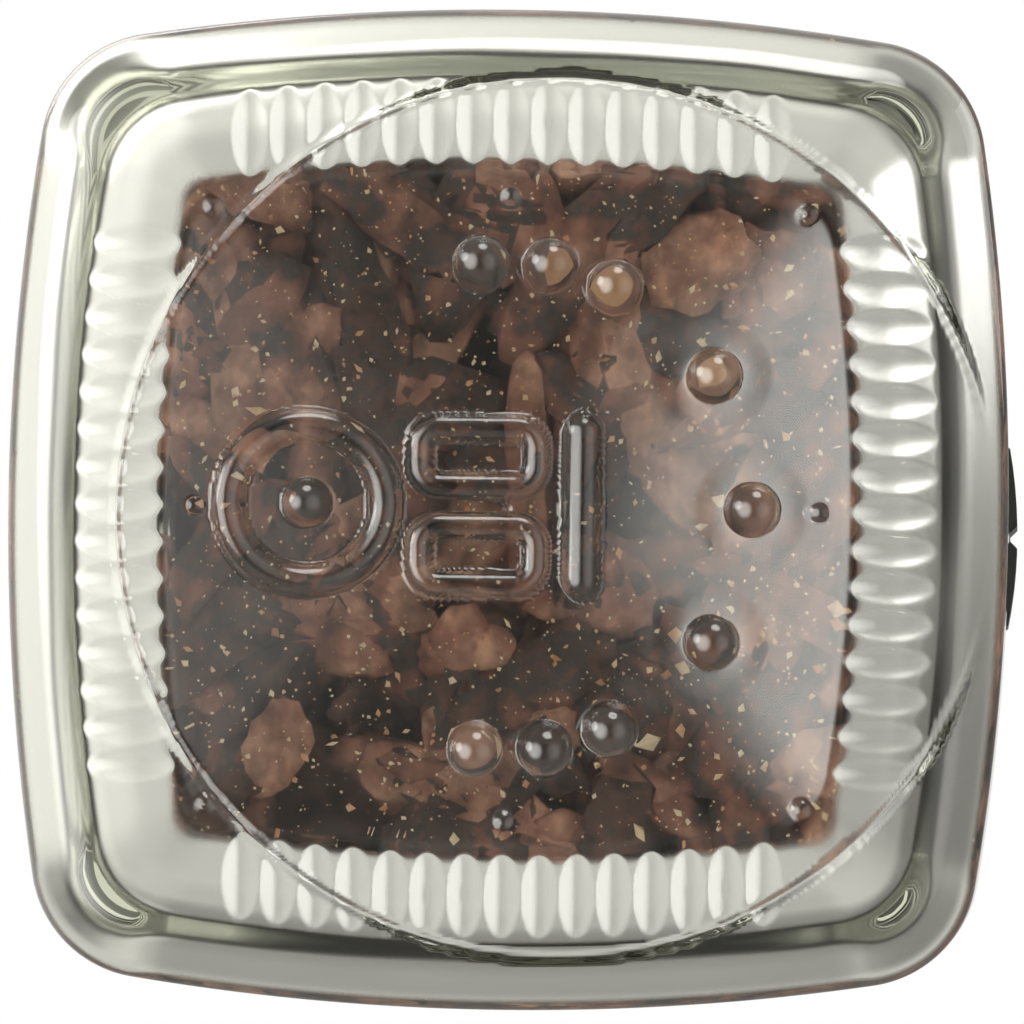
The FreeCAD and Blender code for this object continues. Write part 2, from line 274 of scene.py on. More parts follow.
softbox("top_lamp", (-0.5, -0.6, 0.9), 0.7, 0.7, 2.2, (1.0, 0.98, 0.95))
softbox("side_lamp", (0.8, -0.3, 0.45), 0.4, 0.8, 1.4, (1.0, 1.0, 1.0))

# %% Floor
FLOOR_REACH = 4.0
FLOOR_Z = -0.0002
FLOOR_COLOUR = (0.86, 0.86, 0.85, 1.0)

floor_finish, start = new_finish("pale_floor")
pale = start.node("ShaderNodeBsdfDiffuse", {}, {"Color": FLOOR_COLOUR})
clear = start.node("ShaderNodeBsdfTransparent")
below = start.node("ShaderNodeNewGeometry", output="Backfacing")
close_finish(start, start.node("ShaderNodeMixShader", {}, {0: below, 1: pale, 2: clear}))
floor_mesh = bpy.data.meshes.new("floor")
corners = [(FLOOR_REACH * x, FLOOR_REACH * y, FLOOR_Z) for x, y in ((-1, -1), (1, -1), (1, 1), (-1, 1))]
floor_mesh.from_pydata(corners, [], [(0, 1, 2, 3)])
floor = bpy.data.objects.new("floor", floor_mesh)
scene.collection.objects.link(floor)
floor_mesh.materials.append(floor_finish)
floor.visible_shadow = False
floor.visible_glossy = False
floor.visible_transmission = False
print("floor side in m:", 2 * FLOOR_REACH)

# %% [markdown]
# ## The bowed square
# Every cut across the jar is a square whose sides bow out and whose corners are round. A bevelled and
# subdivided cube comes near it, but its corners are never true arcs. Eight arcs that touch each other
# make the exact shape, as in the CAD source. Here it is needed as a distance from the axis in any
# direction, so that rings of points can be laid round the axis. All sizes from here on are in mm.

# %% Distance to the bowed square
HALF = 25.0
CORNER = 6.0
SIDE_RADIUS = 120.0
SIDE_CENTRE = HALF - SIDE_RADIUS
CENTRE_GAP = SIDE_RADIUS - CORNER
CORNER_CENTRE = (SIDE_CENTRE + math.sqrt(2 * CENTRE_GAP ** 2 - SIDE_CENTRE ** 2)) / 2
SPLIT_ANGLE = math.atan2(CORNER_CENTRE, CORNER_CENTRE - SIDE_CENTRE)


def square_radius(turn, half, corner):
    """Distance from the axis to a bowed square, in the direction turn."""
    scale = (half - corner) / (HALF - CORNER)
    fold = np.abs((turn + math.pi / 4) % (math.pi / 2) - math.pi / 4)
    across, along = np.cos(fold), np.sin(fold)
    centre = scale * SIDE_CENTRE
    radius = scale * CENTRE_GAP + corner
    side = across * centre + np.sqrt((across * centre) ** 2 - centre ** 2 + radius ** 2)
    bend_centre = scale * CORNER_CENTRE
    reach = (across + along) * bend_centre
    bend = reach + np.sqrt(np.maximum(reach ** 2 - 2 * bend_centre ** 2 + corner ** 2, 0))
    on_side = np.arctan2(side * along, side * across - centre) <= SPLIT_ANGLE
    return np.where(on_side, side, bend)


REACH = float(square_radius(np.array(math.pi / 4), HALF, CORNER))
print("jar corner in mm from the axis:", round(REACH, 2))

# %% Even directions
KNURL_HALF = 19.3
KNURL_CORNER = 4.0
SAMPLES = 20001
FINE = 960
COARSE = 240


def even_turns(count):
    """Directions that space points evenly along the bowed square in the middle of the knurl."""
    fine = np.linspace(0, 2 * math.pi, SAMPLES)
    radius = square_radius(fine, KNURL_HALF, KNURL_CORNER)
    steps = np.hypot(np.diff(radius * np.cos(fine)), np.diff(radius * np.sin(fine)))
    length = np.concatenate([[0], np.cumsum(steps)])
    return np.interp(np.arange(count) * length[-1] / count, length, fine)


fine_turns = even_turns(FINE)
coarse_turns = fine_turns[::FINE // COARSE]
print("points round the base and the walls:", len(fine_turns), len(coarse_turns))

# %% [markdown]
# ## Relief under the base
# The moulded marks stand out of the glass like drops, and the bearing ring is a row of spindle-shaped
# ribs. Single meshes could be joined to the base with Booleans, but glass shows every seam that they
# leave. So each mark is a round ridge over the distance to a point, a line or a loop, and one formula
# gives the height at any place of the base.

# %% Ridges and distances
def ridge(distance, reach, height):
    """Round ridge: highest where the distance is 0 and level with the glass at its reach."""
    radius = (reach ** 2 + height ** 2) / (2 * height)
    return np.clip(np.sqrt(np.maximum(radius ** 2 - distance ** 2, 0)) - (radius - height), 0, None)


def to_point(x, y, middle):
    """Distance to a point."""
    return np.hypot(x - middle[0], y - middle[1])


def to_bar(x, y, middle, length):
    """Distance to an upright line through a point."""
    return np.hypot(x - middle[0], np.maximum(np.abs(y - middle[1]) - length / 2, 0))


def to_loop(x, y, middle, half_x, half_y, corner):
    """Distance to the outline of a rounded rectangle."""
    over_x = np.abs(x - middle[0]) - (half_x - corner)
    over_y = np.abs(y - middle[1]) - (half_y - corner)
    outside = np.hypot(np.maximum(over_x, 0), np.maximum(over_y, 0))
    return np.abs(outside + np.minimum(np.maximum(over_x, over_y), 0) - corner)


print("height of a ridge half way out:", round(float(ridge(0.5, 1.0, 1.0)), 2))

# %% Knurl
RIB_PITCH = 1.86
RIB_COUNT = 15
RIB_INSET = 5.7
RIB_HALF_LENGTH = 2.35
RIB_HALF_WIDTH = 0.96
RIB_HEIGHT = 0.42


def rib_relief(x, y):
    """Height of the knurl: rows of spindle ribs that follow the bow of the four sides."""
    last = (RIB_COUNT - 1) / 2
    height = np.zeros_like(x)
    for far, along in ((x, y), (-x, -y), (y, -x), (-y, x)):
        index = np.clip(np.round(along / RIB_PITCH), -last, last)
        middle = SIDE_CENTRE + np.sqrt((SIDE_RADIUS - RIB_INSET) ** 2 - (index * RIB_PITCH) ** 2)
        taper = np.clip(1 - ((far - middle) / RIB_HALF_LENGTH) ** 2, 1e-6, None)
        share = (along - index * RIB_PITCH) / (RIB_HALF_WIDTH * np.sqrt(taper))
        height = np.maximum(height, RIB_HEIGHT * taper ** 0.5 * np.clip(1 - share ** 2, 0, None) ** 0.6)
    return height


crest = rib_relief(np.array([KNURL_HALF]), np.array([0.0]))
print("rib height at a crest in mm:", round(float(crest[0]), 2))

# %% Dots, loops, ring and bar
DOT_CIRCLE = 12.2
DOT_ANGLES = (0, 33, 64.5, 80.5, 97, -33, -64.5, -80.5, -97)
DOT_RISE = 0.1
DOT_REACH = 1.42
DOT_HEIGHT = 1.25
SMALL_DOT_CIRCLES = (15.5, 20.9)
SMALL_DOT = (0.65, 0.36)
BAR_MIDDLE = (3.7, -0.2)
BAR_LENGTH = 7.4
BAR = (1.0, 1.05)
LOOP_MIDDLES = ((-1.5, -2.6), (-1.5, 2.3))
LOOP_SHAPE = (2.9, 1.45, 1.0)
LOOP = (0.68, 0.85)
RING_MIDDLE = (-10.0, -0.2)
RING_RADIUS = 3.9
RING = (0.85, 1.05)
RING_DOT = (1.3, 1.1)


def on_circle(radius, angle):
    """Point of a circle round the axis."""
    return radius * math.cos(angle), radius * math.sin(angle)


DOTS = []
for degrees in DOT_ANGLES:
    dot_x, dot_y = on_circle(DOT_CIRCLE, math.radians(degrees))
    DOTS.append((dot_x, dot_y - DOT_RISE))
SMALL_DOTS = []
for quarter in range(4):
    SMALL_DOTS.append(on_circle(SMALL_DOT_CIRCLES[0], quarter * math.pi / 2))
    SMALL_DOTS.append(on_circle(SMALL_DOT_CIRCLES[1], quarter * math.pi / 2 + math.pi / 4))


def mark_relief(x, y):
    """Height of the dots, loops, ring and bar that stand on the panel."""
    marks = [ridge(to_point(x, y, middle), DOT_REACH, DOT_HEIGHT) for middle in DOTS]
    marks += [ridge(to_point(x, y, middle), *SMALL_DOT) for middle in SMALL_DOTS]
    marks += [ridge(to_loop(x, y, middle, *LOOP_SHAPE), *LOOP) for middle in LOOP_MIDDLES]
    marks.append(ridge(to_bar(x, y, BAR_MIDDLE, BAR_LENGTH), *BAR))
    marks.append(ridge(np.abs(to_point(x, y, RING_MIDDLE) - RING_RADIUS), *RING))
    marks.append(ridge(to_point(x, y, RING_MIDDLE), *RING_DOT))
    return np.max(marks, axis=0)


print("dots:", len(DOTS), "large and", len(SMALL_DOTS), "small")

# %% Seam and ripples
SEAM_MIDDLE = (2.46, 0.41)
SEAM_RADIUS = 21.95
SEAM = (0.24, 0.17)
WAVES = 9


def seam_groove(x, y):
    """Depth of the thin round groove that the rim of the mould's bottom plate leaves."""
    return ridge(np.abs(to_point(x, y, SEAM_MIDDLE) - SEAM_RADIUS), *SEAM)


def gather(x, y, middle, radius, reach):
    """Moves points of the base sideways, so that more of them lie along a circle."""
    over_x, over_y = x - middle[0], y - middle[1]
    distance = np.maximum(np.hypot(over_x, over_y), 1e-6)
    past = np.clip((distance - radius) / reach, -1, 1)
    wanted = radius + reach * past * np.abs(past) ** 0.8
    push = np.where(np.abs(distance - radius) < reach, wanted / distance, 1.0)
    return middle[0] + over_x * push, middle[1] + over_y * push


def ripple(x, y, size, wave, seed):
    """Soft unevenness of blown glass, as a sum of long waves."""
    rng = np.random.default_rng(seed)
    total = np.zeros_like(x)
    for angle in rng.uniform(0, 2 * math.pi, WAVES):
        span = wave * rng.uniform(0.7, 1.8)
        along = x * math.cos(angle) + y * math.sin(angle)
        total += np.sin(2 * math.pi * along / span + rng.uniform(0, 6.3))
    return size * total / 3


print("seam groove in mm:", 2 * SEAM[0], "wide and", SEAM[1], "deep")

# %% [markdown]
# ## The glass
# The jar is one closed skin: from the middle of the base outwards, up the wall and shoulder to the
# rim, and down the inside again. A Solidify modifier could thicken an outer shell, but real glass is
# thick at the heel and thin in the wall, and that heel is what turns the knurled ring white in the
# photograph. So ring after ring of points is joined up. The base needs fine rings for its relief, and
# the walls do with a quarter of the points.

# %% Profile of the outside
PANEL_Z = 2.30
PANEL_HALF = 17.1
FOOT_Z = 0.42
HEEL = 3.2
RIB_START = 16.9
RIB_START_CORNER = 3.6


def smooth(low, high, value):
    """Soft step from 0 to 1."""
    share = np.clip((value - low) / (high - low), 0, 1)
    return share * share * (3 - 2 * share)


def base_ring(half):
    """Corner radius and level of a ring under the base, before any relief."""
    if half <= RIB_START:
        corner = half * (1 - (1 - RIB_START_CORNER / RIB_START) * smooth(0, RIB_START, half))
    else:
        share = (half - RIB_START) / (HALF - HEEL - RIB_START)
        corner = RIB_START_CORNER + (CORNER - HEEL - RIB_START_CORNER) * share
    return corner, FOOT_Z + (PANEL_Z - FOOT_Z) * max(1 - (half / PANEL_HALF) ** 2, 0)


panel_halves = [*np.linspace(0.15, 15.8, 98), *np.linspace(15.9, PANEL_HALF, 12)]
base_rings = [(half, *base_ring(half)) for half in [*panel_halves, *np.linspace(17.25, 21.75, 34)]]
for angle in np.linspace(0, math.pi / 2, 24):
    inset = HEEL * (1 - math.sin(angle))
    base_rings.append((HALF - inset, CORNER - inset, FOOT_Z + HEEL * (1 - math.cos(angle))))
print("rings under the base:", len(base_rings))

# %% Profile of the shoulder, neck and rim
BODY_Z = 69.0
NECK_Z = 77.0
NECK = 20.0
BORE = 17.0
RIM_Z = 90.0
LIP = 1.0
BEAD_Z = (84.2, 87.2)
BEAD_OUT = 1.2
SHOULDER_CURVE = 2.5
SHOULDER_BLEND = 0.4


def soft_least(first, second, blend):
    """The smaller of two lengths, with a rounded change-over."""
    return -blend * np.log(np.exp(-first / blend) + np.exp(-second / blend))


def shoulder_radius(z, reach, neck):
    """Turned outline of the shoulder: nearly level at the corners, and then up into the neck."""
    share = np.clip((z - BODY_Z) / (NECK_Z - BODY_Z), 0, 1)
    return reach + (neck - reach) * share ** (1 / SHOULDER_CURVE) + max(BODY_Z - z, 0) * 0.6


def wall_ring(turns, z, half, corner, reach, neck):
    """Radius of the body or shoulder at a level."""
    shoulder = shoulder_radius(z, reach, neck) + 0 * turns
    return soft_least(square_radius(turns, half, corner), shoulder, SHOULDER_BLEND)


def neck_line():
    """Radius and height of the neck, its snap bead and its rounded rim, and down to the bore."""
    line = [(NECK, z) for z in np.linspace(NECK_Z + 1, NECK_Z + 7, 4)]
    for z in np.linspace(*BEAD_Z, 9):
        swell = math.sin(math.pi * (z - BEAD_Z[0]) / (BEAD_Z[1] - BEAD_Z[0])) ** 2
        line.append((NECK + BEAD_OUT * swell, z))
    line.append((NECK, RIM_Z - 2))
    for middle, first in ((NECK - LIP, 0), (BORE + LIP, math.pi / 2)):
        for angle in np.linspace(first, first + math.pi / 2, 6):
            line.append((middle + LIP * math.cos(angle), RIM_Z - LIP + LIP * math.sin(angle)))
    return line + [(BORE, z) for z in np.linspace(RIM_Z - 3, NECK_Z + 1, 6)]


print("neck rings:", len(neck_line()))

# %% Profile of the inside
INNER_HALF = 22.2
INNER_CORNER = 5.0
INNER_STEP = 0.05
CROWN_TOP = 5.8
CROWN_FALL = 0.018
CROWN_BAND = (13.0, 16.5)
HEEL_BAND = (16.9, 17.8)
HEEL_SLOPE = (1.02, 1.36)
STEEPER_BAND = (19.2, 20.2)
HEEL_END = 20.9
CORNER_SHRINK = 0.75
CORNER_LEAST = 1.2


def inner_line():
    """Half width and level of the inside: crowned floor, sloped heel and the bend into the wall."""
    line = []
    z = CROWN_TOP
    gentle, steep = HEEL_SLOPE
    for half in np.arange(INNER_STEP, HEEL_END + INNER_STEP, INNER_STEP):
        fall = CROWN_FALL * min(half, CROWN_BAND[0]) * (1 - smooth(*CROWN_BAND, half))
        slope = gentle + (steep - gentle) * smooth(*STEEPER_BAND, half)
        z += INNER_STEP * (slope * smooth(*HEEL_BAND, half) - fall)
        line.append((half, z))
    bend = math.atan(steep)
    radius = (INNER_HALF - HEEL_END) / (1 - math.sin(bend))
    for angle in np.linspace(bend, math.pi / 2, 12)[1:]:
        half = INNER_HALF - radius * (1 - math.sin(angle))
        line.append((half, z + radius * (math.cos(bend) - math.cos(angle))))
    return np.array(line)


inside = inner_line()
inside_half, inside_z = inside.T
inside_corner = np.maximum(INNER_CORNER - CORNER_SHRINK * (INNER_HALF - inside_half), CORNER_LEAST)
inside_corner = np.maximum(inside_corner, inside_half * (1 - 0.9 * smooth(0, 15, inside_half)))
inside_corner = np.minimum(inside_corner, inside_half * 0.999)
INNER_REACH = float(square_radius(np.array(math.pi / 4), INNER_HALF, INNER_CORNER))
print("inside floor from", CROWN_TOP, "to", round(float(inside_z.min()), 2), "mm, wall from",
      round(float(inside_z[-1]), 1))

# %% Rings under the base
KNURL_BAND = (16.6, 22.2)
FADE_BAND = (22.6, 24.2)
SEAM_GATHER = 0.5
SEAM_GATHER_END = 21.4
BASE_RIPPLE = (0.012, 7.0, 3)


def ring_points(turns, radius, z):
    """Ring of points."""
    return np.stack([radius * np.cos(turns), radius * np.sin(turns), z + 0 * turns], axis=1)


rings = []
for half, corner, z in base_rings:
    ring = ring_points(fine_turns, square_radius(fine_turns, half, corner), z)
    x, y = ring[:, 0], ring[:, 1]
    for middle in DOTS:
        x, y = gather(x, y, middle, DOT_REACH, DOT_REACH)
    if half < SEAM_GATHER_END:
        x, y = gather(x, y, SEAM_MIDDLE, SEAM_RADIUS, SEAM_GATHER)
    fade = 1 - smooth(*FADE_BAND, half)
    knurl = rib_relief(x, y) * (KNURL_BAND[0] < half < KNURL_BAND[1])
    relief = np.maximum(knurl, mark_relief(x, y)) - seam_groove(x, y)
    level = ring[:, 2] - relief * fade
    level = level + ripple(x, y, *BASE_RIPPLE) * fade
    rings.append(np.stack([x, y, np.maximum(level, 0.0)], axis=1))
print("points under the base:", sum(len(ring) for ring in rings))

# %% Rings of the walls, neck and inside
OUTER_LEVELS = [6.0, 12, 20, 28, 36, 44, 52, 60, 65, 67.5]
INNER_LEVELS = [67.5, 65, 60, 54, 48, 42, 36, 30, 24, 18]
SHOULDER_START = BODY_Z - 0.5
WALL_RIPPLE = (0.012, 22.0, 4)
WALL_RIPPLE_END = 70
WALL_INSET = 0.03
WALL_UNROLL = 20
FLOOR_RIPPLE = (0.05, 5.0, 5)
FINE_FROM = 20.8
KEEP_EVERY = 8

shoulder_levels = SHOULDER_START + (NECK_Z - SHOULDER_START) * np.linspace(0, 1, 32) ** 2.2
for z in [*OUTER_LEVELS, *shoulder_levels]:
    radius = wall_ring(coarse_turns, z, HALF, CORNER, REACH, NECK)
    ring = ring_points(coarse_turns, radius, z)
    wave = ripple(WALL_UNROLL * coarse_turns, z + 0 * coarse_turns, *WALL_RIPPLE) - WALL_INSET
    ring[:, :2] *= (1 + wave * (z < WALL_RIPPLE_END) / radius)[:, None]
    rings.append(ring)
for radius, z in neck_line():
    rings.append(ring_points(coarse_turns, radius + 0 * coarse_turns, z))

for z in [*shoulder_levels[::-1], *INNER_LEVELS]:
    radius = wall_ring(coarse_turns, z, INNER_HALF, INNER_CORNER, INNER_REACH, BORE)
    rings.append(ring_points(coarse_turns, radius, z))
for (half, z), corner in list(zip(inside, inside_corner))[::-1]:
    if half < FINE_FROM and round(half / INNER_STEP) % KEEP_EVERY:
        continue
    ring = ring_points(coarse_turns, square_radius(coarse_turns, half, corner), z)
    ring[:, 2] += ripple(ring[:, 0], ring[:, 1], *FLOOR_RIPPLE) * (1 - smooth(16, 19, half))
    rings.append(ring)
print("rings:", len(rings), "points:", sum(len(ring) for ring in rings))

# %% Skin over rings
def skin(rings, low_tip, high_tip):
    """Points and faces of a closed skin; a ring may have a quarter of the points of the last."""
    points = np.concatenate([[low_tip], *rings, [high_tip]])
    faces = []
    offset = 1
    count = len(rings[0])
    faces += [(0, offset + (i + 1) % count, offset + i) for i in range(count)]
    for ring, after in zip(rings, rings[1:]):
        count, more = len(ring), len(after)
        above = offset + count
        if count == more:
            for i in range(count):
                j = (i + 1) % count
                faces.append((offset + i, offset + j, above + j, above + i))
        else:
            share = count // more
            for i in range(more):
                j = (i + 1) % more
                run = [offset + (share * i + k) % count for k in range(share + 1)]
                faces += [(run[k], run[k + 1], above + i) for k in range(share // 2)]
                faces += [(run[k], run[k + 1], above + j) for k in range(share // 2, share)]
                faces.append((run[share // 2], above + j, above + i))
        offset = above
    count = len(rings[-1])
    faces += [(offset + i, offset + (i + 1) % count, offset + count) for i in range(count)]
    return points, faces


def new_piece(name, points, faces, finish, body, flat=False):
    """Mesh object from points in mm, in the place that the CAD frame gives."""
    mesh = bpy.data.meshes.new(name)
    mesh.from_pydata((np.asarray(points) / 1000).tolist(), [], faces)
    work = bmesh.new()
    work.from_mesh(mesh)
    bmesh.ops.recalc_face_normals(work, faces=work.faces)
    work.to_mesh(mesh)
    work.free()
    mesh.polygons.foreach_set("use_smooth", [not flat] * len(mesh.polygons))
    mesh.materials.append(finish)
    piece = bpy.data.objects.new(name, mesh)
    scene.collection.objects.link(piece)
    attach(piece, body)
    return piece


glass_points, glass_faces = skin(rings, (0, 0, PANEL_Z), (0, 0, CROWN_TOP))
print("faces of the skin:", len(glass_faces))

# %% [markdown]
# ## The finish of the glass
# Clear glass is faintly green where it is thick, smooth outside, and a little uneven where it cooled
# against air inside. A tinted surface would colour thin and thick glass alike, so the tint is an
# absorbing volume. The unevenness is roughness on the inside floor and, less, on the heel. It goes by
# level, so a low strip of the outside shares it. It blurs the spice behind the base as in the
# photograph, and the walls above it stay clear.

# %% Glass finish
GLASS_COLOUR = (0.995, 0.99, 0.95, 1.0)
GLASS_IOR = 1.5
TINT_COLOUR = (0.50, 0.62, 0.12, 1.0)
TINT_DENSITY = 5.0
UNEVEN = 0.20
UNEVEN_START = (0.0022, 0.0034)
UNEVEN_END = (0.009, 0.014)
FLOOR_EDGE = (0.0162, 0.0172)
FLOOR_SHARE = 1.35
FLOOR_DROP = 0.40

glass_finish, start = new_finish("clear_glass")
place = start.node("ShaderNodeTexCoord", output="Object")
x, y, level = [start.node("ShaderNodeSeparateXYZ", {}, {0: place}, output=axis) for axis in "XYZ"]
uneven = level.step(*UNEVEN_START, UNEVEN) - level.step(*UNEVEN_END, UNEVEN)
uneven = uneven * (FLOOR_SHARE - abs(x).most(abs(y)).step(*FLOOR_EDGE, FLOOR_DROP))
surface = start.node("ShaderNodeBsdfPrincipled", {}, {
    "Base Color": GLASS_COLOUR, "Roughness": uneven, "IOR": GLASS_IOR, "Transmission Weight": 1.0})
tint = start.node("ShaderNodeVolumeAbsorption", {}, {"Color": TINT_COLOUR, "Density": TINT_DENSITY})
close_finish(start, surface, tint)

glass = new_piece("glass_jar", glass_points, glass_faces, glass_finish, "bottle")
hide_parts("glass_bottle")
print("glass faces:", len(glass.data.polygons))

# %% [markdown]
# ## The spice
# The filling is dried bark and pods, broken into curled chips. They could be dropped in by a rigid
# body simulation, but that takes long and never ends twice in the same place. Here each chip is a
# bent slab with a ragged outline, and it is laid flat against the floor or a wall, as chips lie
# behind real glass. A few larger flakes have listed places, close to the glass floor.

# %% Room inside the glass
FLOOR_HALF = 15.0
FLOOR_CORNER = 4.0
FLOOR_END = 19.0
WALL_TOP = 70.0

lowest = int(np.argmin(inside_z))
wall_z = np.append(inside_z[lowest:], WALL_TOP)
wall_half = np.append(inside_half[lowest:], INNER_HALF)
wall_corner = np.append(inside_corner[lowest:], INNER_CORNER)


def wall_distance(x, y, z):
    """Distance from the axis to the inside wall, in the direction of a point and at its level."""
    half = np.interp(z, wall_z, wall_half)
    corner = np.interp(z, wall_z, wall_corner)
    return square_radius(np.arctan2(y, x), half, corner)


def floor_level(x, y):
    """Level of the glass floor under a point."""
    share = np.hypot(x, y) / square_radius(np.arctan2(y, x), FLOOR_HALF, FLOOR_CORNER)
    half = np.minimum(share * FLOOR_HALF, FLOOR_END)
    return np.interp(half, inside_half, inside_z) + ripple(x, y, *FLOOR_RIPPLE)


def by_wall(turn, z, gap):
    """Point at a gap from the inside wall, in a direction and at a level."""
    reach = float(wall_distance(math.cos(turn), math.sin(turn), z)) - gap
    return reach * math.cos(turn), reach * math.sin(turn), z


def by_floor(x, y, gap):
    """Point at a gap above the glass floor."""
    return x, y, float(floor_level(x, y)) + gap


def keep_inside(points, gap):
    """Presses points back from the glass."""
    x, y, z = points.T.copy()
    z = np.maximum(z, floor_level(x, y) + gap)
    pull = np.minimum(1, (wall_distance(x, y, z) - gap) / np.maximum(np.hypot(x, y), 1e-6))
    return np.stack([x * pull, y * pull, z], axis=1)


print("floor in mm at the middle and at 12 mm:", [round(by_floor(x, 0.0, 0.0)[2], 2) for x in (0.0, 12.0)])

# %% One chip
LONG = 7
WIDE = 5
ROUNDNESS = 0.38


def chip_points(rng, length, width, thick):
    """Bent slab with a ragged outline: the upper face and then the lower one."""
    u, v = np.meshgrid(np.linspace(-1, 1, LONG), np.linspace(-1, 1, WIDE), indexing="ij")
    ragged = 1 + 0.07 * rng.normal(size=u.shape) * np.abs(u)
    x = u * length / 2 * np.sqrt(1 - ROUNDNESS * v ** 2) * ragged
    ragged = 1 + 0.09 * rng.normal(size=u.shape)
    y = v * width / 2 * np.sqrt(1 - ROUNDNESS * u ** 2) * ragged
    curl = rng.uniform(-0.15, 0.6) * width / 2
    bow = rng.uniform(-0.2, 0.2) * length / 2
    middle = curl * v ** 2 + bow * u ** 2 + 0.10 * rng.normal(size=u.shape)
    edge = 1 - 0.8 * np.maximum(np.abs(u), np.abs(v)) ** 3
    lift = thick / 2 * edge * (1 + 0.25 * rng.normal(size=u.shape))
    upper = np.stack([x, y, middle + lift], axis=-1).reshape(-1, 3)
    lower = np.stack([x, y, middle - lift], axis=-1).reshape(-1, 3)
    return np.concatenate([upper, lower])


def chip_faces():
    """Faces of a slab, as places in its list of points."""
    at = np.arange(LONG * WIDE).reshape(LONG, WIDE)
    low = LONG * WIDE
    faces = []
    for i in range(LONG - 1):
        for j in range(WIDE - 1):
            a, b, c, d = at[i, j], at[i + 1, j], at[i + 1, j + 1], at[i, j + 1]
            faces += [(a, b, c, d), (low + d, low + c, low + b, low + a)]
    edge = [*at[:-1, 0], *at[-1, :-1], *at[:0:-1, -1], *at[0, :0:-1]]
    for i, first in enumerate(edge):
        second = edge[(i + 1) % len(edge)]
        faces.append((first, first + low, second + low, second))
    return np.array(faces)


SLAB = chip_faces()
CHIP_SIZE = 2 * LONG * WIDE
print("faces of a chip:", len(SLAB))

# %% Chips against the floor and walls
CHIP_SEED = 11
CHIP_GAP = 0.75
ABOVE_FLOOR = 0.9
OFF_WALL = 0.8
FLOOR_LAYERS = (74, 80, 70)
FLOOR_AREA = 18.5
HEEL_CHIPS = 150
HEEL_CHIP_Z = (6.5, 13)
WALL_LAYERS = (300, 230)
WALL_CHIP_Z = (9, 55)
TOP_CHIPS = 170
TOP_CHIP_Z = (52, 55)
TOP_AREA = 20

# Spans of length, width and thickness.
FLOOR_SPANS = ((4, 14), (2.0, 4.6), (1.2, 2.4))
HEEL_SPANS = ((3.5, 7), (2.2, 4.0), (1.0, 2.0))
WALL_SPANS = ((5, 12), (2.8, 6), (0.8, 1.8))
TOP_SPANS = ((5, 11), (2.8, 6), (0.8, 1.8))
FLAKE_THICK = 0.7
FLAKE_GAP = 0.55

# Listed flakes: x, y, length, width, spin in degrees and tone.
FLAKES = [(9.4, -12.8, 5.8, 5.2, 20, 0.95), (14.0, -12.0, 4.5, 3.0, 80, 0.75),
          (-13.8, -9.0, 10.0, 3.2, 85, 0.55), (-15.0, 2.4, 9.0, 3.0, 95, 0.42),
          (-8.6, -7.6, 8.0, 4.6, 30, 0.30), (-9.0, 6.4, 7.0, 3.2, 60, 0.70),
          (1.4, 8.9, 9.5, 5.0, 10, 0.30), (-2.6, 6.9, 4.6, 3.0, 140, 0.72),
          (5.6, -5.4, 7.0, 5.0, 40, 0.55), (12.4, 11.4, 8.0, 5.0, 15, 0.30),
          (-4.6, 13.3, 9.0, 3.0, 5, 0.60), (-5.6, -14.6, 9.0, 3.0, 175, 0.48)]


def turned_to(points, normal, spin):
    """Turns a chip so that its flat side faces along a normal."""
    turn = Vector(normal).to_track_quat("Z", "X").to_matrix() @ Matrix.Rotation(spin, 3, "Z")
    return points @ np.array(turn).T


def lay_chips(seed):
    """Points and tone of every chip."""
    rng = np.random.default_rng(seed)
    made = []

    def drawn(spans):
        return [rng.uniform(*span) for span in spans]

    def lay(place, normal, tilt, sizes, spin=None, tone=None, gap=CHIP_GAP):
        points = chip_points(rng, *sizes)
        lean = np.array(normal) + rng.normal(size=3) * tilt
        spin = rng.uniform(0, 2 * math.pi) if spin is None else spin
        tone = rng.uniform() if tone is None else tone
        made.append((keep_inside(turned_to(points, lean, spin) + np.array(place), gap), tone))

    for layer, count in enumerate(FLOOR_LAYERS):
        for _ in range(count):
            x, y = rng.uniform(-FLOOR_AREA, FLOOR_AREA, 2)
            place = by_floor(x, y, ABOVE_FLOOR + 1.5 * layer)
            lay(place, UP, 0.16 + 0.12 * layer, drawn(FLOOR_SPANS))
    for _ in range(HEEL_CHIPS):
        turn = rng.uniform(0, 2 * math.pi)
        z = rng.uniform(*HEEL_CHIP_Z)
        outward = (math.cos(turn), math.sin(turn), -1.0)
        lay(by_wall(turn, z, OFF_WALL), outward, 0.2, drawn(HEEL_SPANS))
    for layer, count in enumerate(WALL_LAYERS):
        for _ in range(count):
            turn = rng.uniform(0, 2 * math.pi)
            z = rng.uniform(*WALL_CHIP_Z)
            side = math.pi / 2 * round(turn / (math.pi / 2))
            outward = (math.cos(side), math.sin(side), -0.1)
            lay(by_wall(turn, z, OFF_WALL + 1.8 * layer), outward, 0.16, drawn(WALL_SPANS))
    for _ in range(TOP_CHIPS):
        x, y = rng.uniform(-TOP_AREA, TOP_AREA, 2)
        z = rng.uniform(*TOP_CHIP_Z)
        lay((x, y, z), UP, 0.4, drawn(TOP_SPANS))
    for x, y, length, width, spin, tone in FLAKES:
        sizes = (length, width, FLAKE_THICK)
        lay(by_floor(x, y, ABOVE_FLOOR), UP, 0.02, sizes, math.radians(spin), tone, FLAKE_GAP)
    return made


made = lay_chips(CHIP_SEED)
chip_skin = np.concatenate([points for points, _ in made])
chip_sides = np.concatenate([SLAB + CHIP_SIZE * i for i in range(len(made))])
print("chips:", len(made), "of which by hand:", len(FLAKES))

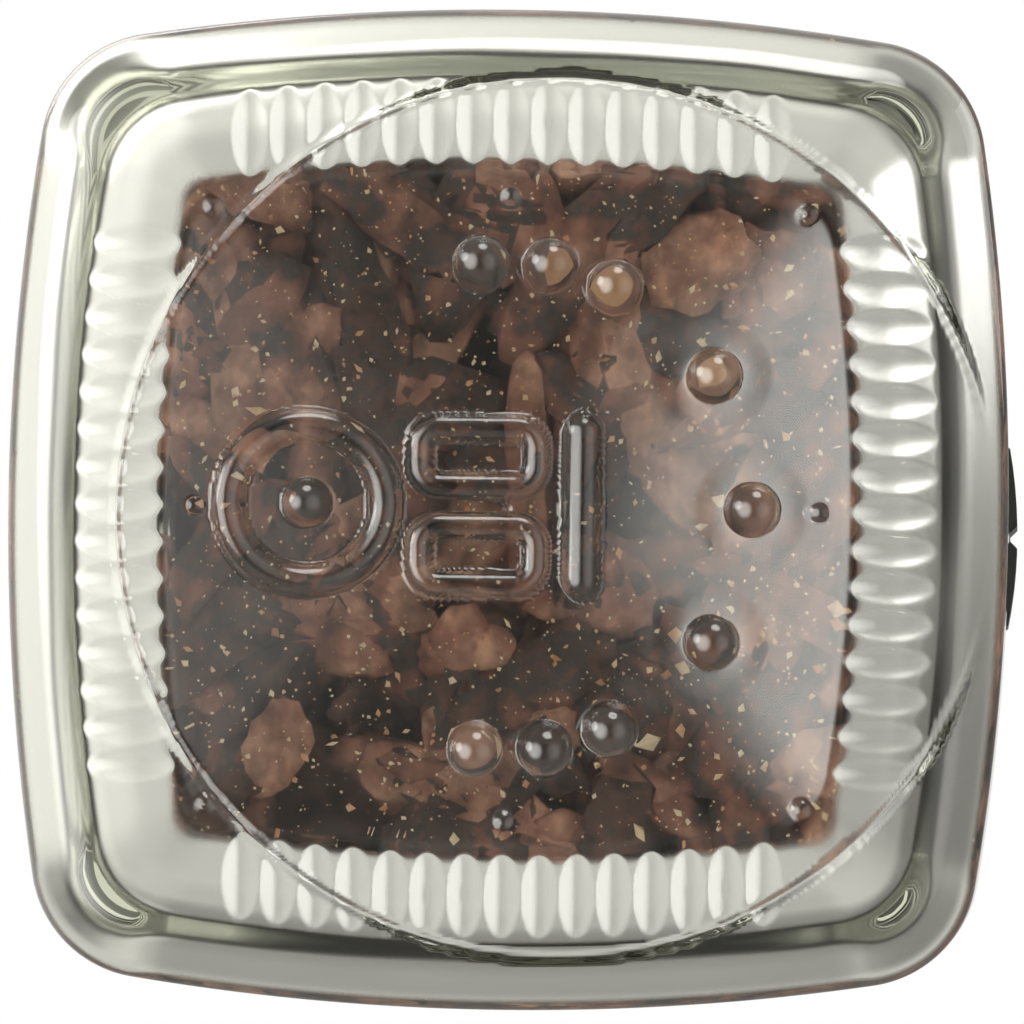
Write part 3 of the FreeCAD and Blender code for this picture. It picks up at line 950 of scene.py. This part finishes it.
# %% [markdown]
# ## The finish of the spice
# Bark and pods are matte, and they go from nearly black through slate and red-brown to tan. One
# material per colour would be many materials, so each chip carries a tone as an attribute of its
# points. A colour ramp turns the tone, shifted by blotches of noise, into the colour. Stretched noise
# gives the fibres, which shade the colour and make a fine bump.

# %% Chip finish
SPICE_TONES = [(0.0, (0.022, 0.013, 0.011)), (0.20, (0.108, 0.050, 0.038)), (0.36, (0.056, 0.047, 0.047)),
               (0.50, (0.176, 0.073, 0.053)), (0.70, (0.272, 0.122, 0.086)), (0.95, (0.48, 0.26, 0.185))]

spice_finish, start = new_finish("dried_spice")
tone = start.node("ShaderNodeAttribute", {"attribute_name": "tone"}, output="Fac")
fibre = noise(start, 700.0, 5.0, (1.0, 0.4, 1.0))
blotch = noise(start, 420.0, 4.0)
fleck = noise(start, 2600.0, 2.0)
shift = 0.75 * tone + 1.5 * blotch - 0.62
colour = start.node("ShaderNodeValToRGB", {"stops": SPICE_TONES}, {0: shift})
colour = shaded(start, colour, (2.6 * fibre + 0.6 * fleck - 0.55).most(0.15))
bark = start.node("ShaderNodeBsdfPrincipled", {}, {
    "Base Color": colour, "Roughness": 0.55 + 0.3 * fibre, "Normal": bumpy(start, fibre, 0.5, 0.0002)})
close_finish(start, bark)


def give_tones(piece, tones):
    """Stores a tone with each point, for the finish to read."""
    attribute = piece.data.attributes.new("tone", "FLOAT", "POINT")
    attribute.data.foreach_set("value", np.asarray(tones, np.float32))


chips = new_piece("spice_chips", chip_skin, chip_sides.tolist(), spice_finish, "bottle")
give_tones(chips, np.repeat([tone for _, tone in made], CHIP_SIZE))
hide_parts("spice_fill")
print("faces of all chips:", len(chips.data.polygons))

# %% [markdown]
# ## Heap and crumbs
# Behind the chips lies more of the same, which nobody sees in detail. Filling the jar with chips would
# double the mesh, so one heap closes the gaps between them. It has the finish of the spice, but one
# dark tone, which is painted shade for the depth between the chips. Fine crumbs have settled on the
# glass floor and cling to the walls. They are small octahedra, each stretched in its own way, because
# a texture of dots would not catch the light as grains do.

# %% Heap in the middle
HEAP_Z = (9.5, 52)
HEAP_GAP = 3.6
HEAP_CORNER = 6.0
HEAP_RIPPLE = (0.05, 9.0, 8)
HEAP_UNROLL = 9
# Low tone of the heap: painted shade for the depth between the chips.
HEAP_SHADE_TONE = 0.1

heap_turns = even_turns(96)
heap_rings = []
for z in np.linspace(*HEAP_Z, 26):
    half = float(np.interp(z, wall_z, wall_half)) - HEAP_GAP
    ring = ring_points(heap_turns, square_radius(heap_turns, half, min(HEAP_CORNER, half * 0.5)), z)
    ring[:, :2] *= (1 + ripple(HEAP_UNROLL * heap_turns, z + 0 * heap_turns, *HEAP_RIPPLE))[:, None]
    heap_rings.append(ring)
points, faces = skin(heap_rings, (0, 0, HEAP_Z[0]), (0, 0, HEAP_Z[1]))
heap = new_piece("spice_heap", points, faces, spice_finish, "bottle", flat=True)
# The whole heap gets the same dark tone, which is painted shade behind the chips.
give_tones(heap, np.full(len(points), HEAP_SHADE_TONE))
print("heap faces:", len(heap.data.polygons))

# %% Crumbs on the floor and walls
CRUMB_SPAN = 0.053
CRUMB_SPREAD = 0.65
CRUMB_MOST = 0.45
CRUMB_AREA = 17
CRUMB_WALL_Z = 9
CRUMB_WALL_RISE = 46
CRUMB_GAP = 0.03
CRUMB_SEED = 21
CRUMBS_ON_FLOOR = 2600
CRUMBS_ON_WALL = 600
GRAIN_POINTS = np.array([(1, 0, 0), (-1, 0, 0), (0, 1, 0), (0, -1, 0), (0, 0, 1), (0, 0, -1)], float)
GRAIN_FACES = np.array([(0, 2, 4), (2, 1, 4), (1, 3, 4), (3, 0, 4),
                        (2, 0, 5), (1, 2, 5), (3, 1, 5), (0, 3, 5)])


def crumbs(seed, on_floor, on_wall):
    """Points and tones of small broken grains that touch the glass."""
    rng = np.random.default_rng(seed)
    grains, tones = [], []
    for index in range(on_floor + on_wall):
        span = min(CRUMB_SPAN * math.exp(rng.normal() * CRUMB_SPREAD), CRUMB_MOST)
        broken = rng.uniform(0.5, 1.5, (len(GRAIN_POINTS), 1))
        shape = GRAIN_POINTS * span * broken @ np.diag(rng.uniform(0.6, 1.6, 3))
        shape = turned_to(shape, rng.normal(size=3), rng.uniform(0, 6.3))
        if index < on_floor:
            x, y = rng.uniform(-CRUMB_AREA, CRUMB_AREA, 2)
            place = by_floor(x, y, 0.05)
        else:
            turn = rng.uniform(0, 2 * math.pi)
            z = CRUMB_WALL_Z + CRUMB_WALL_RISE * rng.uniform() ** 1.6
            place = by_wall(turn, z, 0.06)
        grains.append(keep_inside(shape + np.array(place), CRUMB_GAP))
        tones += [rng.uniform()] * len(GRAIN_POINTS)
    return np.concatenate(grains), tones


points, tones = crumbs(CRUMB_SEED, CRUMBS_ON_FLOOR, CRUMBS_ON_WALL)
crumb_count = len(points) // len(GRAIN_POINTS)
faces = np.concatenate([GRAIN_FACES + len(GRAIN_POINTS) * i for i in range(crumb_count)])
print("crumbs:", crumb_count)

# %% Crumb finish
CRUMB_TONES = [(0.0, (0.42, 0.18, 0.09)), (0.25, (0.66, 0.36, 0.18)), (0.5, (0.80, 0.62, 0.40)),
               (0.85, (0.84, 0.72, 0.54)), (1.0, (0.66, 0.24, 0.10))]

crumb_finish, start = new_finish("spice_crumbs")
tone = start.node("ShaderNodeAttribute", {"attribute_name": "tone"}, output="Fac")
colour = start.node("ShaderNodeValToRGB", {"stops": CRUMB_TONES}, {0: tone})
colour = shaded(start, colour, 0.7 + 0.6 * noise(start, 3000.0))
close_finish(start, start.node("ShaderNodeBsdfPrincipled", {}, {"Base Color": colour, "Roughness": 0.7}))
dust = new_piece("spice_crumbs", points, faces.tolist(), crumb_finish, "bottle", flat=True)
give_tones(dust, tones)
print("faces of all crumbs:", len(dust.data.polygons))

# %% [markdown]
# ## The mill head
# The head, collar and cap are moulded in black plastic with a fine satin grain. The burrs are hard
# pale plastic, and the screw is plain steel. Their solids already have every form that shows, so they
# keep their meshes and only get a finish. Noise in the roughness and a small bump keep the plastic
# from looking like paint.

# %% Plastic and steel
STEEL_COLOUR = (0.62, 0.62, 0.63, 1.0)


def satin(name, colour, roughness, grain_size):
    """Moulded plastic: a fine grain in the mould wall, and a faint cloudiness."""
    material, start = new_finish(name)
    cloud = noise(start, 90.0, 2.0)
    grain = noise(start, grain_size, 2.0)
    close_finish(start, start.node("ShaderNodeBsdfPrincipled", {}, {
        "Base Color": shaded(start, colour, 0.85 + 0.3 * cloud), "Roughness": roughness + 0.12 * cloud,
        "Normal": bumpy(start, grain, 0.25, 0.0001)}))
    return material


black = satin("black_plastic", (0.022, 0.022, 0.024), 0.34, 2600.0)
burr = satin("burr_plastic", (0.74, 0.73, 0.69), 0.42, 1800.0)
steel, start = new_finish("screw_steel")
scratch = noise(start, 2500.0, 3.0, (1.0, 0.1, 1.0))
close_finish(start, start.node("ShaderNodeBsdfPrincipled", {}, {
    "Base Color": STEEL_COLOUR, "Metallic": 1.0, "Roughness": 0.25 + 0.2 * scratch}))

finishes = {"neck_collar": black, "grip_head": black, "overcap": black,
            "grinding_ring": burr, "grinding_cone": burr, "cone_screw": steel}
for node, finish in finishes.items():
    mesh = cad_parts[node].data
    mesh.materials.clear()
    mesh.materials.append(finish)
print("finished nodes:", len(finishes))

# %% [markdown]
# ## Rays
# A ray that enters the base crosses many faces of glass before it finds the spice or the studio. With
# the usual number of bounces it ends too soon and leaves black patches in the heel, so more are
# allowed.

# %% Bounces
scene.cycles.max_bounces = 32
scene.cycles.transmission_bounces = 32
scene.cycles.glossy_bounces = 16
scene.cycles.transparent_max_bounces = 24
